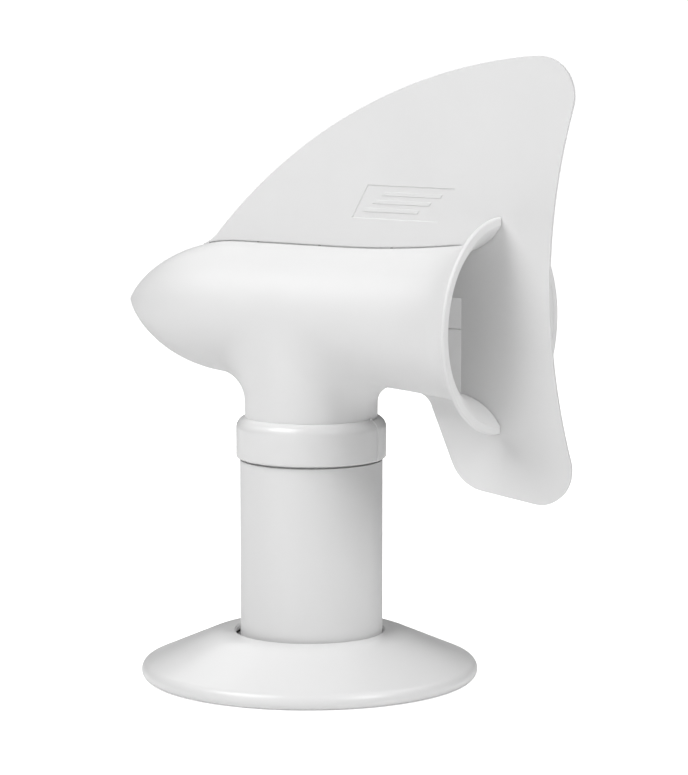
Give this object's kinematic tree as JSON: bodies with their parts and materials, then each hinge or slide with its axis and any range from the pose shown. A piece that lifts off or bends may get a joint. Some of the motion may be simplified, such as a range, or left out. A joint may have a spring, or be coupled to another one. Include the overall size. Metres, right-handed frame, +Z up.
{
  "type": "rotating roof vent",
  "caption": "Wind-turned vent head with a bullet nose, flared mouth and tall tail fin, pivoting on a round stack tube with a conical skirt over its roof flange.",
  "frame": {"origin": "the stack's axis where the vent's gasket meets the roof", "axes": "+Z up along the stack, -X towards the nose, +X towards the mouth and the tail fin, the fin in the XZ plane"},
  "size_m": [0.2467, 0.158, 0.2925],
  "materials": {
    "white_plastic": "moulded white plastic, satin to glossy",
    "pipe_plastic": "extruded white pipe, matte",
    "inner_plastic": "ribbed moulding, matte",
    "bearing_plastic": "slippery natural acetal",
    "black_rubber": "soft moulded rubber",
    "stainless": "turned stainless steel"
  },
  "bodies": {
    "base": {"roof_gasket": "black_rubber", "mounting_flange": "inner_plastic", "pipe_seal": "black_rubber", "stack_tube": "pipe_plastic", "bearing_spider": "inner_plastic", "bushing_upper": "bearing_plastic", "bushing_lower": "bearing_plastic"},
    "head": {"head_shell": "white_plastic", "tail_fin": "white_plastic", "fin_pins": "stainless", "head_yoke": "inner_plastic", "yoke_screws": "stainless", "spindle": "stainless", "thrust_washer": "bearing_plastic", "lower_washer": "bearing_plastic", "spindle_clip": "stainless", "collar_half_left": "white_plastic", "collar_half_right": "white_plastic", "collar_pins": "stainless"},
    "skirt": {"trim_skirt": "white_plastic"}
  },
  "joints": [
    {"name": "head_turn", "type": "hinge", "parent": "base", "child": "head", "pos_m": [0, 0, 0.104], "axis": [0, 0, 1], "continuous": true},
    {"name": "skirt_lift", "type": "slide", "parent": "base", "child": "skirt", "axis": [0, 0, 1], "range_m": [0, 0.065]}
  ]
}
